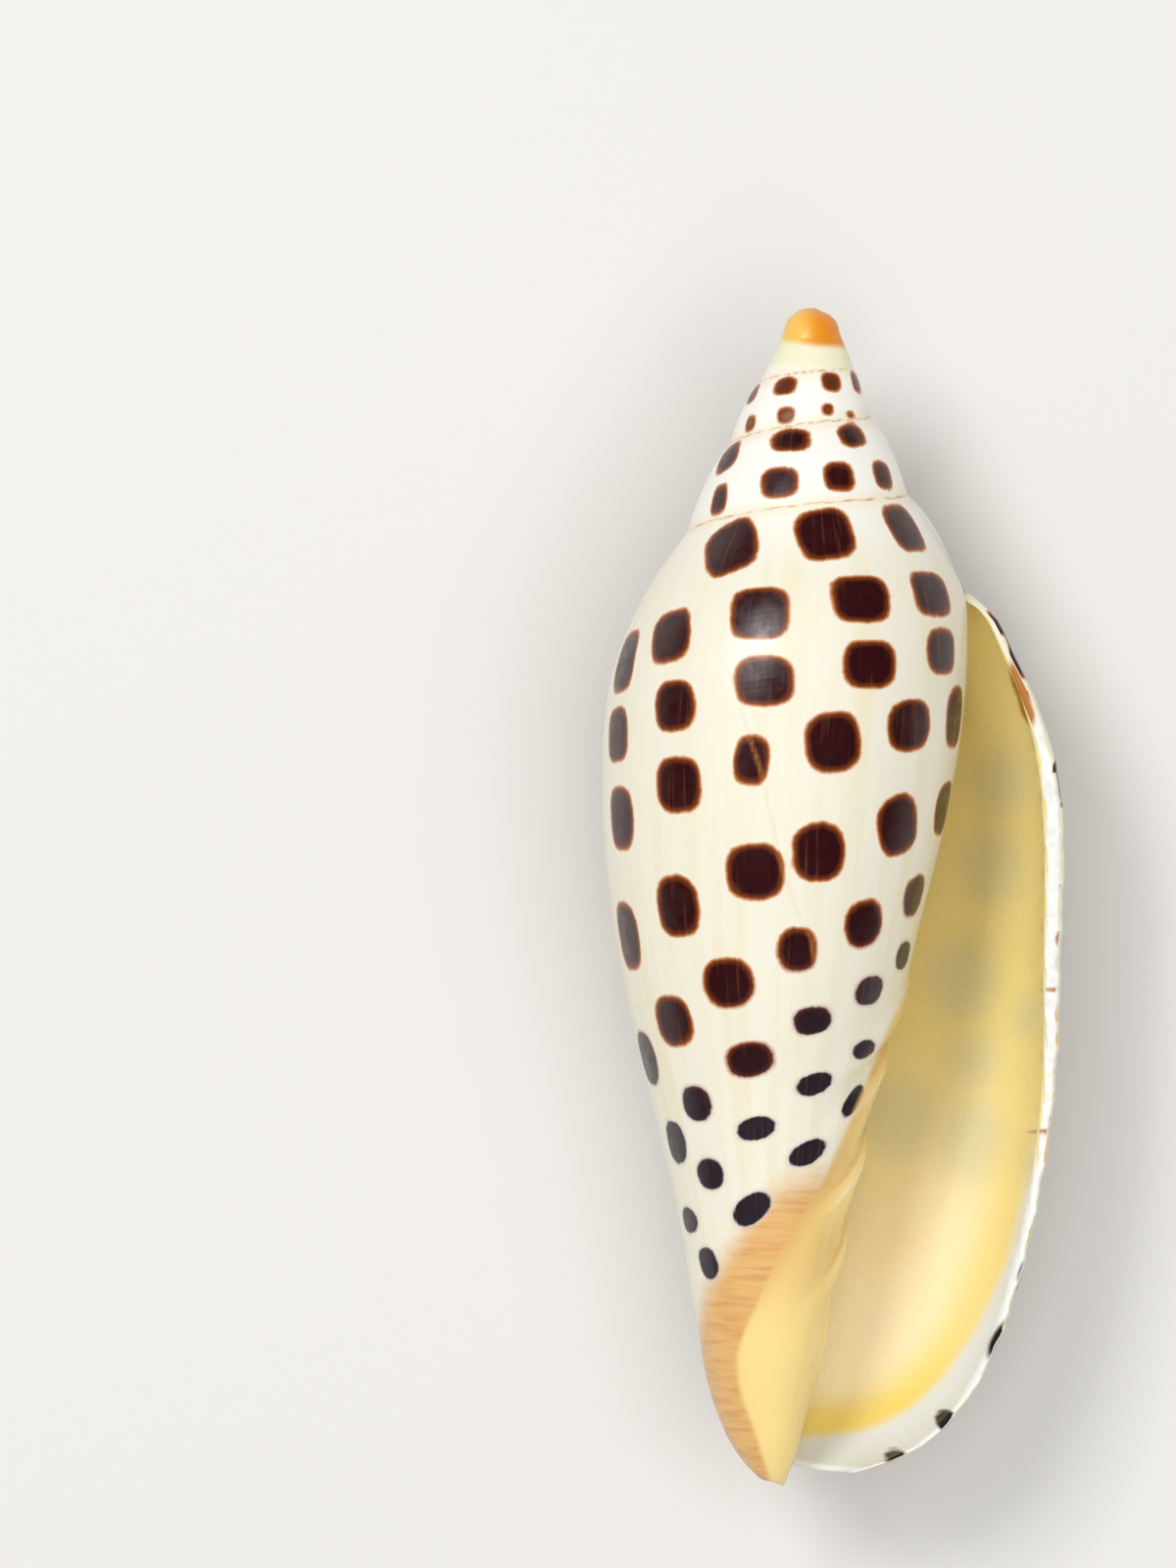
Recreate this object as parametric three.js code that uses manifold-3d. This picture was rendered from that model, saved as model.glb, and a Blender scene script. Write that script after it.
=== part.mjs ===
// Shell of a volute, Scaphella elizabethae: one solid with its real hollow inside.
// Millimetres. It lies on its back with the aperture up: X towards the outer lip,
// Y along the coiling axis with the apex at the +Y end, Z up.
// Heights along the axis are measured down from the apex, radii out from the axis.
// A growth position is counted in turns back from the outer lip, so the lip is 0 and
// the body whorl one turn earlier, on the inner side of the aperture, is -1.

import * as THREE from "three";
import Module from "manifold-3d";

// Driving dimensions
const shellLength = 100;
const columnsPerTurn = 56;
const spireTurns = 5;
const bandRows = 4;
const growthPerTurn = 0.6;

// Suture, back from the lip: [turn, down, out]
const suturePath = [
  [0, 23.2, 13.4],
  [-0.25, 21.9, 11.3],
  [-0.5, 19.5, 10.0],
  [-0.75, 16.8, 9.1],
  [-1, 15.5, 8.6],
  [-1.5, 11.9, 6.6],
  [-1.75, 9.9, 5.8],
  [-2, 9.0, 5.2],
  [-2.5, 6.6, 4.3],
  [-2.75, 5.5, 4.0],
  [-3, 4.9, 3.7],
  [-3.5, 3.3, 2.62],
  [-4, 2.0, 2.45],
  [-4.5, 1.05, 1.95],
  [-5, 0.4, 1.2],
];
const nextTurnSuture = 13.5;

// Swelling of the spire below a suture, as a share of the step out to the next: [turn, share]
const spireSwell = [
  [-5, 0.3], [-4.5, 0.1], [-4, 0], [-3.5, 0], [-3, 0.09], [-2.5, 0.14], [-1, 0.14],
];
const spireSwellSkew = 0.75;

// Outline of the body whorl at the parietal side, half a turn on and at the lip: [down, out]
const parietalOutline = [
  [15.5, 8.6], [18, 10.4], [20.5, 11.9], [23.75, 13.7], [28, 14.1], [33, 14.0],
  [38, 13.5], [45, 12.3], [51, 10.95], [56, 9.9], [60, 8.75], [65, 7.1], [70, 6.2],
  [76, 5.3], [82, 4.6], [88, 4.0], [93, 2.65], [97, 1.8], [99.9, 0.8],
];
const leftOutline = [
  [19.5, 10.0], [23.2, 12.5], [27.5, 14.6], [32, 16.0], [38, 16.45], [46, 16.05],
  [54, 14.8], [62, 12.85], [70, 10.5], [78, 8.45], [86, 6.9], [92, 5.5], [96, 3.9],
  [98.2, 2.4], [99.3, 1.3],
];
const lipOutline = [
  [23.2, 13.4], [24.4, 15.1], [26, 16.75], [28.7, 18.15], [33, 20.4], [38, 22.1], [44, 23.0],
  [54, 23.1], [64, 23.1], [72, 22.4], [80, 21.0], [87, 19.0], [92, 16.6],
  [95.5, 13.6], [97.6, 10.2], [98.6, 7.2],
];

// Heights at which the parietal column is divided below the lip's attachment
const parietalHeights = [
  23.2, 27, 31, 36, 41, 46, 51, 55.5, 57.8, 59.5, 60.8, 61.8, 63.4, 65.8, 68.6, 70.6, 73.4,
  76.7, 78.6, 81, 85, 89, 93, 96.8, 99.9,
];

// Folds on the pillar: height where each one crosses the lip plane, rise, and how far it
// reaches above and below; each one is steep above and slopes off below
const pillarFolds = [
  { down: 58.9, rise: 0.75, above: 2.2, below: 1.0 },
  { down: 63.4, rise: 0.97, above: 1.2, below: 4.3 },
  { down: 70.8, rise: 0.87, above: 1.15, below: 3.5 },
  { down: 78.4, rise: 0.58, above: 1.1, below: 2.0 },
];
const foldSlope = 6;
const foldFrontTurns = 0.22;
const foldInnerTurns = 0.4;
const foldFullTurns = 0.02;

// Siphonal notch: how far the base edge draws back, and where
const notchDepth = 0.9;
const notchTurn = -0.22;
const notchWidthTurns = 0.12;

// Wall: thin on the older side, thickest behind the lip, thin again at the base
const olderWall = 1.1;
const thickWall = 3.0;
const baseWall = 1.0;
// Edge of the lip itself: [down, wall]
const lipWall = [[24, 0.9], [32, 1.1], [40, 1.65], [50, 1.65], [66, 1.2], [76, 0.95], [98, 0.8]];
const thickStartTurn = -0.3;
const thickFullTurn = -0.16;
const lipStartTurn = -0.08;
const baseThinStartDown = 78;
const baseThinEndDown = 97;

// Hollow
const lipRounding = 0.45;
const pillarShare = 0.66;
const fineHollowSections = 14;
const fineHollowStep = 2;
const coarseHollowSections = 15;
const coarseHollowStep = 4;
const openCanalTurns = 0.38;
const hollowEndDown = 72;
const thinnestGap = 0.3;
const gapSearchStep = 0.05;
const closingRow = 0.01;
const pastBase = 101.5;

// Small flat spot on the back, on which the shell lies still
const flatSpotDepth = 0.3;
const groundDepth = 10;

// Value of a smooth curve through [position, value] points
function along(points, position) {
  const last = points.length - 1;
  let i = 0;
  while (i < last - 1 && position > points[i + 1][0]) i += 1;
  const slopeAt = (k) => {
    const before = points[Math.max(k - 1, 0)];
    const after = points[Math.min(k + 1, last)];
    return (after[1] - before[1]) / (after[0] - before[0]);
  };
  const width = points[i + 1][0] - points[i][0];
  const u = Math.min(Math.max((position - points[i][0]) / width, 0), 1);
  const blend = u * u * (3 - 2 * u);
  const lead = u * (1 - u) * (1 - u) * slopeAt(i);
  const trail = u * u * (1 - u) * slopeAt(i + 1);
  return points[i][1] * (1 - blend) + points[i + 1][1] * blend + width * (lead - trail);
}

const sutureDownPoints = suturePath.map(([turn, down]) => [turn, down]).reverse();
const sutureOutPoints = suturePath.map(([turn, , out]) => [turn, out]).reverse();

// Height of the suture, carried on past the lip to where the next turn would start
function sutureDown(turn) {
  if (turn > 0) return suturePath[0][1] + nextTurnSuture * turn;
  return along(sutureDownPoints, turn);
}

function sutureOut(turn) {
  return along(sutureOutPoints, turn);
}

function smoothStep(from, to, value) {
  const u = Math.min(Math.max((value - from) / (to - from), 0), 1);
  return u * u * (3 - 2 * u);
}

// Quadratic blend through the three outlines of the body whorl
function blendOutlines(turn, parietal, left, lip) {
  const parietalPart = 2 * turn * (turn + 0.5);
  const leftPart = -4 * turn * (turn + 1);
  const lipPart = 2 * (turn + 1) * (turn + 0.5);
  return parietal * parietalPart + left * leftPart + lip * lipPart;
}

// Height of the last point of an outline
function outlineEnd(outline) {
  return outline[outline.length - 1][0];
}

// Height of the base edge, drawn back at the siphonal notch
function baseDown(turn) {
  const ends = [parietalOutline, leftOutline, lipOutline].map(outlineEnd);
  const edge = blendOutlines(turn, ...ends);
  return edge - notchDepth * Math.exp(-(((turn - notchTurn) / notchWidthTurns) ** 2));
}

// Swelling of the pillar folds; around is in turns from the lip plane, front positive
function foldRise(around, down) {
  let fade = smoothStep(foldFrontTurns, foldFullTurns, around);
  if (around < 0) fade = smoothStep(-foldInnerTurns, -foldFullTurns, around);
  let rise = 0;
  for (const fold of pillarFolds) {
    const middle = fold.down + foldSlope * around * 2 * Math.PI;
    const offset = (down - middle) / (down < middle ? fold.above : fold.below);
    rise += fold.rise * Math.exp(-offset * offset);
  }
  return rise * fade;
}

// Outer radius of the body whorl, folds included
function bodyRadius(turn, down) {
  const share = (down - sutureDown(turn)) / (baseDown(turn) - sutureDown(turn));
  const at = (outline) => {
    const top = outline[0][0];
    return Math.log(along(outline, top + share * (outlineEnd(outline) - top)));
  };
  const radius = Math.exp(blendOutlines(turn, at(parietalOutline), at(leftOutline), at(lipOutline)));
  return radius + foldRise(turn + 1, down);
}

// Outer radius of a spire whorl at a share of the band between its two sutures
function spireRadius(turn, share) {
  const inner = sutureOut(turn);
  const outer = sutureOut(turn + 1);
  const swell = along(spireSwell, turn) * (outer - inner);
  return inner + (outer - inner) * share + swell * Math.sin(Math.PI * share ** spireSwellSkew);
}

// Surface the whorl at this turn was laid on: the whorl before it, or the pillar
function innerRadius(turn, down) {
  const scale = growthPerTurn ** -turn;
  const whorl = scale * along(parietalOutline, down / scale);
  const pillar = pillarShare * along(parietalOutline, down);
  return Math.max(whorl, pillar) + foldRise(turn, down);
}

// Outer radius of the whorl at any turn back from the lip, held inside the spire's surface
function outerRadius(turn, down) {
  if (turn >= -1) return bodyRadius(turn, down);
  const scale = growthPerTurn ** (-1 - turn);
  const whorl = scale * along(parietalOutline, down / scale);
  const suture = sutureDown(turn);
  const nextSuture = sutureDown(turn + 1);
  if (down > nextSuture) return Math.min(whorl, sutureOut(turn + 1) + down - nextSuture);
  return Math.min(whorl, spireRadius(turn, Math.max(down - suture, 0) / (nextSuture - suture)));
}

// Wall of the whorl; whorls further back are smaller and their walls with them
function wallThickness(turn, down) {
  const side = olderWall + (thickWall - olderWall) * smoothStep(thickStartTurn, thickFullTurn, turn);
  const towardsBase = smoothStep(baseThinStartDown, baseThinEndDown, down);
  const behindLip = side + (baseWall - side) * towardsBase;
  const towardsLip = smoothStep(lipStartTurn, 0, turn);
  const wall = behindLip + (along(lipWall, down) - behindLip) * towardsLip;
  return turn < -1 ? wall * growthPerTurn ** (-1 - turn) : wall;
}

// Point on the column of a turn; whole turns apart give exactly the same direction
function place(turn, down, radius) {
  const column = Math.round(turn * columnsPerTurn);
  const wrapped = ((column % columnsPerTurn) + columnsPerTurn) % columnsPerTurn;
  const angle = (wrapped * Math.PI * 2) / columnsPerTurn;
  return [radius * Math.cos(angle), -down, wrapped === 0 ? 0 : radius * Math.sin(angle)];
}

// Points and triangles of one closed surface
class Skin {
  constructor() {
    this.points = [];
    this.faces = [];
  }

  point(xyz) {
    this.points.push(xyz);
    return this.points.length - 1;
  }

  face(a, b, c) {
    if (a !== b && b !== c && a !== c) this.faces.push([a, b, c]);
  }

  quad(a, b, c, d) {
    this.face(a, b, c);
    this.face(a, c, d);
  }
}

// Joins two rows of points that run the same way with a strip of triangles
function zip(skin, left, right) {
  let i = 0;
  let j = 0;
  const down = (index) => -skin.points[index][1];
  while (i < left.length - 1 || j < right.length - 1) {
    const leftNext = i < left.length - 1 ? down(left[i + 1]) : Infinity;
    const rightNext = j < right.length - 1 ? down(right[j + 1]) : Infinity;
    if (leftNext < rightNext) {
      skin.face(left[i], right[j], left[i + 1]);
      i += 1;
    } else {
      skin.face(left[i], right[j], right[j + 1]);
      j += 1;
    }
  }
}

// Heights of the rows of a body column, from its suture to the base
function bodyHeights(turn) {
  const top = sutureDown(turn);
  const next = sutureDown(turn + 1);
  const heights = [];
  for (let row = 0; row < bandRows; row += 1) heights.push(top + ((next - top) * row) / bandRows);
  const first = parietalHeights[0];
  const span = parietalHeights[parietalHeights.length - 1] - first;
  for (const height of parietalHeights) {
    heights.push(next + ((height - first) / span) * (baseDown(turn) - next));
  }
  return heights;
}

// Solid as if the shell were filled: spire, body whorl, lip face and base
function makeEnvelope() {
  const skin = new Skin();
  const firstColumn = -spireTurns * columnsPerTurn;
  const bodyColumn = -columnsPerTurn;
  const columns = new Map();
  for (let column = firstColumn; column <= 0; column += 1) {
    const turn = column / columnsPerTurn;
    const rows = [];
    if (column < bodyColumn) {
      for (let row = 0; row < bandRows; row += 1) {
        const share = row / bandRows;
        const down = sutureDown(turn) + (sutureDown(turn + 1) - sutureDown(turn)) * share;
        rows.push(skin.point(place(turn, down, spireRadius(turn, share))));
      }
    } else {
      for (const down of bodyHeights(turn)) {
        const edge = column === 0 && down > sutureDown(0) ? lipRounding : 0;
        rows.push(skin.point(place(turn, down, bodyRadius(turn, down) - edge)));
      }
    }
    columns.set(column, rows);
  }
  // The suture of each whorl is the lower edge of the whorl before it
  columns.get(0)[0] = columns.get(bodyColumn)[bandRows];
  for (let column = firstColumn; column < bodyColumn; column += 1) {
    columns.get(column).push(columns.get(column + columnsPerTurn)[0]);
  }
  for (let column = firstColumn; column < 0; column += 1) {
    const here = columns.get(column);
    const next = columns.get(column + 1);
    const rows = column < bodyColumn ? bandRows : here.length - 1;
    for (let row = 0; row < rows; row += 1) {
      skin.quad(here[row], next[row], next[row + 1], here[row + 1]);
    }
  }
  const parietalColumn = columns.get(bodyColumn).slice(bandRows);
  zip(skin, columns.get(0), parietalColumn);
  closeApex(skin, columns, firstColumn);
  closeBase(skin, columns, bodyColumn);
  return skin;
}

// Cap over the first column, from the apex
function closeApex(skin, columns, firstColumn) {
  const apex = skin.point([0, 0, 0]);
  for (let column = firstColumn; column < firstColumn + columnsPerTurn; column += 1) {
    skin.face(apex, columns.get(column + 1)[0], columns.get(column)[0]);
  }
  const start = columns.get(firstColumn);
  for (let row = 0; row < bandRows; row += 1) skin.face(apex, start[row], start[row + 1]);
}

// Closes the base from its last ring to the tip
function closeBase(skin, columns, bodyColumn) {
  const tip = skin.point([0, -shellLength, 0]);
  const bottom = (column) => columns.get(column)[columns.get(column).length - 1];
  for (let column = bodyColumn; column < 0; column += 1) {
    skin.face(tip, bottom(column), bottom(column + 1));
  }
  skin.face(tip, bottom(0), bottom(bodyColumn));
}

// Room between the wall and the whorl inside it
function hollowWidth(turn, down) {
  return outerRadius(turn, down) - wallThickness(turn, down) - innerRadius(turn, down);
}

// Heights of the rows of a hollow section
function hollowHeights(turn) {
  let top = sutureDown(turn);
  while (hollowWidth(turn, top) < thinnestGap) top += gapSearchStep;
  const closing = smoothStep(-openCanalTurns, -1, turn);
  let end = pastBase + (hollowEndDown - pastBase) * closing;
  if (turn < -1) end = hollowEndDown * growthPerTurn ** (-1 - turn);
  const first = parietalHeights[0];
  const span = parietalHeights[parietalHeights.length - 1] - first;
  const heights = [top];
  for (const height of parietalHeights.slice(1)) {
    heights.push(top + ((height - first) / span) * (end - top));
  }
  return heights;
}

// Radius of the parietal column where it is straight between two of its rows
function facetedParietal(down) {
  const straight = parietalHeights.map((height) => [height, bodyRadius(-1, height)]);
  let i = 0;
  while (i < straight.length - 2 && down > straight[i + 1][0]) i += 1;
  const share = (down - straight[i][0]) / (straight[i + 1][0] - straight[i][0]);
  return straight[i][1] + (straight[i + 1][1] - straight[i][1]) * Math.min(share, 1);
}

// Hollow swept back from the aperture, ending inside the spire
function makeHollow() {
  const skin = new Skin();
  const sections = [];
  for (let k = 0; k <= fineHollowSections + coarseHollowSections; k += 1) {
    const fine = Math.min(k, fineHollowSections) * fineHollowStep;
    const coarse = Math.max(k - fineHollowSections, 0) * coarseHollowStep;
    const turn = -(fine + coarse) / columnsPerTurn;
    const outer = [];
    const inner = [];
    let heights = hollowHeights(turn);
    if (k === 0) heights = [heights[0], ...parietalHeights.slice(1, -1), parietalHeights.at(-1), pastBase];
    if (k > 0) heights.push(heights.at(-1) + closingRow);
    for (const down of heights) {
      const held = Math.min(down, turn >= -1 ? baseDown(turn) : down);
      const near = k === 0 ? facetedParietal(down) : innerRadius(turn, down);
      const far = outerRadius(turn, held) - wallThickness(turn, held) + (k === 0 ? lipRounding / 2 : 0);
      inner.push(skin.point(place(turn, down, near)));
      outer.push(skin.point(place(turn, down, Math.max(far, near + thinnestGap))));
    }
    sections.push({ outer, inner });
  }
  for (let k = 0; k < sections.length - 1; k += 1) {
    const here = sections[k];
    const next = sections[k + 1];
    const last = here.outer.length - 1;
    for (let row = 0; row < last; row += 1) {
      skin.quad(here.outer[row], here.outer[row + 1], next.outer[row + 1], next.outer[row]);
      skin.quad(here.inner[row], next.inner[row], next.inner[row + 1], here.inner[row + 1]);
    }
    skin.quad(here.outer[0], next.outer[0], next.inner[0], here.inner[0]);
    skin.quad(here.outer[last], here.inner[last], next.inner[last], next.outer[last]);
  }
  for (const [section, flip] of [[sections[0], false], [sections.at(-1), true]]) {
    for (let row = 0; row < section.outer.length - 1; row += 1) {
      const corners = [
        section.outer[row], section.inner[row], section.inner[row + 1], section.outer[row + 1],
      ];
      if (flip) corners.reverse();
      skin.quad(...corners);
    }
  }
  return skin;
}

function solidFrom(wasm, skin) {
  const mesh = new wasm.Mesh({
    numProp: 3,
    vertProperties: new Float32Array(skin.points.flat()),
    triVerts: new Uint32Array(skin.faces.flat()),
  });
  return new wasm.Manifold(mesh);
}

function skinFrom(manifold) {
  const mesh = manifold.getMesh();
  const skin = new Skin();
  for (let i = 0; i < mesh.vertProperties.length; i += 3) {
    skin.point([mesh.vertProperties[i], mesh.vertProperties[i + 1], mesh.vertProperties[i + 2]]);
  }
  for (let i = 0; i < mesh.triVerts.length; i += 3) {
    skin.face(mesh.triVerts[i], mesh.triVerts[i + 1], mesh.triVerts[i + 2]);
  }
  return skin;
}

// Moves the shell so that the middle of its box is above the origin and its foot is on zero
function centre(skin) {
  const box = new THREE.Box3().setFromPoints(skin.points.map((xyz) => new THREE.Vector3(...xyz)));
  const middle = box.getCenter(new THREE.Vector3());
  skin.points = skin.points.map(([x, y, z]) => [x - middle.x, y - middle.y, z - box.min.z]);
}

// Block below the level of the flat spot
function makeGround(skin) {
  const lowest = Math.min(...skin.points.map((xyz) => xyz[2]));
  const ground = new Skin();
  const level = lowest + flatSpotDepth;
  const reach = 2 * shellLength;
  for (const z of [level - groundDepth, level]) {
    for (const [x, y] of [[-reach, -reach], [reach, -reach], [reach, reach], [-reach, reach]]) {
      ground.point([x, y, z]);
    }
  }
  ground.quad(3, 2, 1, 0);
  ground.quad(4, 5, 6, 7);
  for (let side = 0; side < 4; side += 1) {
    const next = (side + 1) % 4;
    ground.quad(side, next, next + 4, side + 4);
  }
  return ground;
}

function makeMesh(skin) {
  const geometry = new THREE.BufferGeometry();
  geometry.setAttribute("position", new THREE.Float32BufferAttribute(skin.points.flat(), 3));
  geometry.setIndex(skin.faces.flat());
  geometry.computeVertexNormals();
  const cream = new THREE.MeshStandardMaterial({ name: "shell", color: 0xf0e6cc, roughness: 0.35 });
  const mesh = new THREE.Mesh(geometry, cream);
  mesh.name = "shell";
  return mesh;
}

const wasm = await Module();
wasm.setup();
const filled = solidFrom(wasm, makeEnvelope());
const hollow = solidFrom(wasm, makeHollow());
const carved = filled.subtract(hollow);
const rested = skinFrom(carved.subtract(solidFrom(wasm, makeGround(skinFrom(carved)))));
centre(rested);

const shell = new THREE.Group();
shell.add(makeMesh(rested));
export default shell;
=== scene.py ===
import bpy
import bmesh
import math
import random
import numpy as np
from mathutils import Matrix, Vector


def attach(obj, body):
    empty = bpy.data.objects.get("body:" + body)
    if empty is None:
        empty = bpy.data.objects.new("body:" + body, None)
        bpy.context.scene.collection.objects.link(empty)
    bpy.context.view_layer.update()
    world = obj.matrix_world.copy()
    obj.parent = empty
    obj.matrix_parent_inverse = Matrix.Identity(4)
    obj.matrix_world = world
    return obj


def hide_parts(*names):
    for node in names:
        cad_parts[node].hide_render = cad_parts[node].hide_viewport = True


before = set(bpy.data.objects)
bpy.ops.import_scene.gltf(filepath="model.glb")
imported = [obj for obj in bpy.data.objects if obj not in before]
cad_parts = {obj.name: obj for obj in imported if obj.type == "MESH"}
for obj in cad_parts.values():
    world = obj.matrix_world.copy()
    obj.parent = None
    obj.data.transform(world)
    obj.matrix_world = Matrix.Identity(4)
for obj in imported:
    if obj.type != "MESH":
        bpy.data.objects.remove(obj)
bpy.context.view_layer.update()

mm = 0.001

# The shell is worked out round its coiling axis, in millimetres: height down from the apex,
# radius out from the axis, and growth in turns back from the outer lip (lip 0, one turn back -1).
shell = {
    "length": 100,
    "axisAcross": -3.11,        # where the coiling axis lies in the frame
    "axisHeight": 18.916,
    "columnsPerTurn": 280,
    "firstTurn": -6,
    "bandRows": 14,
    "lowerRows": 124,
    "growthPerTurn": 0.6,
    # suture, back from the lip: (turn, down, out)
    "suture": [
        (0, 23.2, 13.4), (-0.25, 21.9, 11.3), (-0.5, 19.5, 10.0), (-0.75, 16.8, 9.1), (-1, 15.5, 8.6),
        (-1.5, 11.9, 6.6), (-1.75, 9.9, 5.8), (-2, 9.0, 5.2), (-2.5, 6.6, 4.3), (-2.75, 5.5, 4.0),
        (-3, 4.9, 3.7), (-3.5, 3.3, 2.62), (-4, 2.0, 2.45), (-4.5, 1.05, 1.95), (-5, 0.4, 1.2),
        (-5.5, 0.12, 0.7), (-6, 0.02, 0.25),
    ],
    # swelling of the spire below a suture: (turn, share of the step out to the next)
    "swell": [(-6, 0), (-5.5, 0.15), (-5, 0.3), (-4.5, 0.1), (-4, 0), (-3.5, 0), (-3, 0.09),
              (-2.5, 0.14), (-1, 0.14)],
    "nextSuture": 13.5,         # how far the suture would drop in another turn
    # outlines of the body whorl: (down, out)
    "parietal": [
        (15.5, 8.6), (18, 10.4), (20.5, 11.9), (23.75, 13.7), (28, 14.1), (33, 14.0),
        (38, 13.5), (45, 12.3), (51, 10.95), (56, 9.9), (60, 8.75), (65, 7.1), (70, 6.2),
        (76, 5.3), (82, 4.6), (88, 4.0), (93, 2.65), (97, 1.8), (99.9, 0.8),
    ],
    "left": [
        (19.5, 10.0), (23.2, 12.5), (27.5, 14.6), (32, 16.0), (38, 16.45), (46, 16.05),
        (54, 14.8), (62, 12.85), (70, 10.5), (78, 8.45), (86, 6.9), (92, 5.5), (96, 3.9),
        (98.2, 2.4), (99.3, 1.3),
    ],
    "lip": [
        (23.2, 13.4), (24.4, 15.1), (26, 16.75), (28.7, 18.15), (33, 20.4), (38, 22.1), (44, 23.0),
        (54, 23.1), (64, 23.1), (72, 22.4), (80, 21.0), (87, 19.0), (92, 16.6),
        (95.5, 13.6), (97.6, 10.2), (98.6, 7.2),
    ],
    # folds on the pillar: (down at the lip plane, rise, reach above, reach below)
    "folds": [(58.9, 0.75, 2.2, 1.0), (63.4, 0.97, 1.2, 4.3),
              (70.8, 0.87, 1.15, 3.5), (78.4, 0.58, 1.1, 2.0)],
    "foldSlope": 6,
    "foldFront": 0.22,
    "foldInside": 0.4,
    "notch": (-0.22, 0.12, 0.9),    # siphonal notch in the base edge: turn, half width, depth
    "olderWall": 1.1,
    "thickWall": 3.0,
    "thickTurns": (-0.3, -0.16),
    "baseWall": 1.0,
    "baseThins": (78, 97),      # heights between which the wall thins towards the base
    # edge of the lip: (down, wall)
    "lipWall": [(24, 0.9), (32, 1.1), (40, 1.65), (50, 1.65), (66, 1.2), (76, 0.95), (98, 0.8)],
    "lipTurns": -0.08,
    "lipRound": 0.5,
    "lipRoundColumns": 3,
    "lipSteps": 6,
    "lipWaves": [(0.07, 1.3, 0), (0.05, 3.1, 1)],   # uneven edge: (depth, waves per mm, phase)
    "lipWavesFrom": (34, 40),
    "lipWavesTurn": -0.015,
    "pillarShare": 0.66,
    "hollowTurns": 0.75,
    "openCanal": 0.38,
    "hollowEnd": 72,
    "thinnestGap": 0.05,
    "gapStep": 0.02,
}
joinDistance = 1e-6             # metres


def curve(points, position):
    # smooth curve through (position, value) points, for one position or an array of them
    xs = np.array([p[0] for p in points], float)
    ys = np.array([p[1] for p in points], float)
    slopes = np.empty_like(ys)
    slopes[1:-1] = (ys[2:] - ys[:-2]) / (xs[2:] - xs[:-2])
    slopes[0] = (ys[1] - ys[0]) / (xs[1] - xs[0])
    slopes[-1] = (ys[-1] - ys[-2]) / (xs[-1] - xs[-2])
    at = np.asarray(position, float)
    i = np.clip(np.searchsorted(xs, at, side="right") - 1, 0, len(xs) - 2)
    width = xs[i + 1] - xs[i]
    u = np.clip((at - xs[i]) / width, 0, 1)
    blend = u * u * (3 - 2 * u)
    lead = u * (1 - u) ** 2 * slopes[i]
    trail = u * u * (1 - u) * slopes[i + 1]
    return ys[i] * (1 - blend) + ys[i + 1] * blend + width * (lead - trail)


def smoothStep(low, high, value):
    u = np.clip((np.asarray(value, float) - low) / (high - low), 0, 1)
    return u * u * (3 - 2 * u)


sutureDowns = [(turn, down) for turn, down, out in reversed(shell["suture"])]
sutureOuts = [(turn, out) for turn, down, out in reversed(shell["suture"])]


def sutureDown(turn):
    turn = np.asarray(turn, float)
    beyond = shell["suture"][0][1] + shell["nextSuture"] * turn
    return np.where(turn > 0, beyond, curve(sutureDowns, turn))


def sutureOut(turn):
    return curve(sutureOuts, turn)


def blendOutlines(turn, parietal, left, lip):
    # quadratic through the outlines one turn back, half a turn back and at the lip
    turn = np.asarray(turn, float)
    return (2 * turn * (turn + 0.5) * parietal
            - 4 * turn * (turn + 1) * left
            + 2 * (turn + 1) * (turn + 0.5) * lip)


def baseDown(turn):
    middle, width, depth = shell["notch"]
    edge = blendOutlines(turn, shell["parietal"][-1][0], shell["left"][-1][0], shell["lip"][-1][0])
    return edge - depth * np.exp(-((turn - middle) / width) ** 2)


def foldRise(around, down):
    around = np.asarray(around, float)
    front = smoothStep(-shell["foldFront"], -0.02, -around)
    inside = smoothStep(-shell["foldInside"], -0.02, around)
    rise = 0
    for middle, height, above, below in shell["folds"]:
        offset = down - middle - shell["foldSlope"] * around * 2 * math.pi
        rise = rise + height * np.exp(-(offset / np.where(offset < 0, above, below)) ** 2)
    return rise * np.where(around < 0, inside, front)


def bodyRadius(turn, down):
    share = (down - sutureDown(turn)) / (baseDown(turn) - sutureDown(turn))
    logs = []
    for outline in (shell["parietal"], shell["left"], shell["lip"]):
        top, end = outline[0][0], outline[-1][0]
        logs.append(np.log(curve(outline, top + share * (end - top))))
    return np.exp(blendOutlines(turn, *logs)) + foldRise(np.asarray(turn, float) + 1, down)


def spireRadius(turn, share):
    inner = sutureOut(turn)
    outer = sutureOut(np.asarray(turn, float) + 1)
    swell = curve(shell["swell"], turn) * (outer - inner)
    return inner + (outer - inner) * share + swell * np.sin(math.pi * np.asarray(share, float) ** 0.75)


def innerRadius(turn, down):
    # the surface that the whorl at this turn was laid on: the whorl before it, or the pillar
    scale = shell["growthPerTurn"] ** (-np.asarray(turn, float))
    whorl = scale * curve(shell["parietal"], down / scale)
    pillar = shell["pillarShare"] * curve(shell["parietal"], down)
    return np.maximum(whorl, pillar) + foldRise(turn, down)


def wallThickness(turn, down):
    thicker = smoothStep(*shell["thickTurns"], turn)
    side = shell["olderWall"] + (shell["thickWall"] - shell["olderWall"]) * thicker
    behind = side + (shell["baseWall"] - side) * smoothStep(*shell["baseThins"], down)
    return behind + (curve(shell["lipWall"], down) - behind) * smoothStep(shell["lipTurns"], 0, turn)


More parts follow.
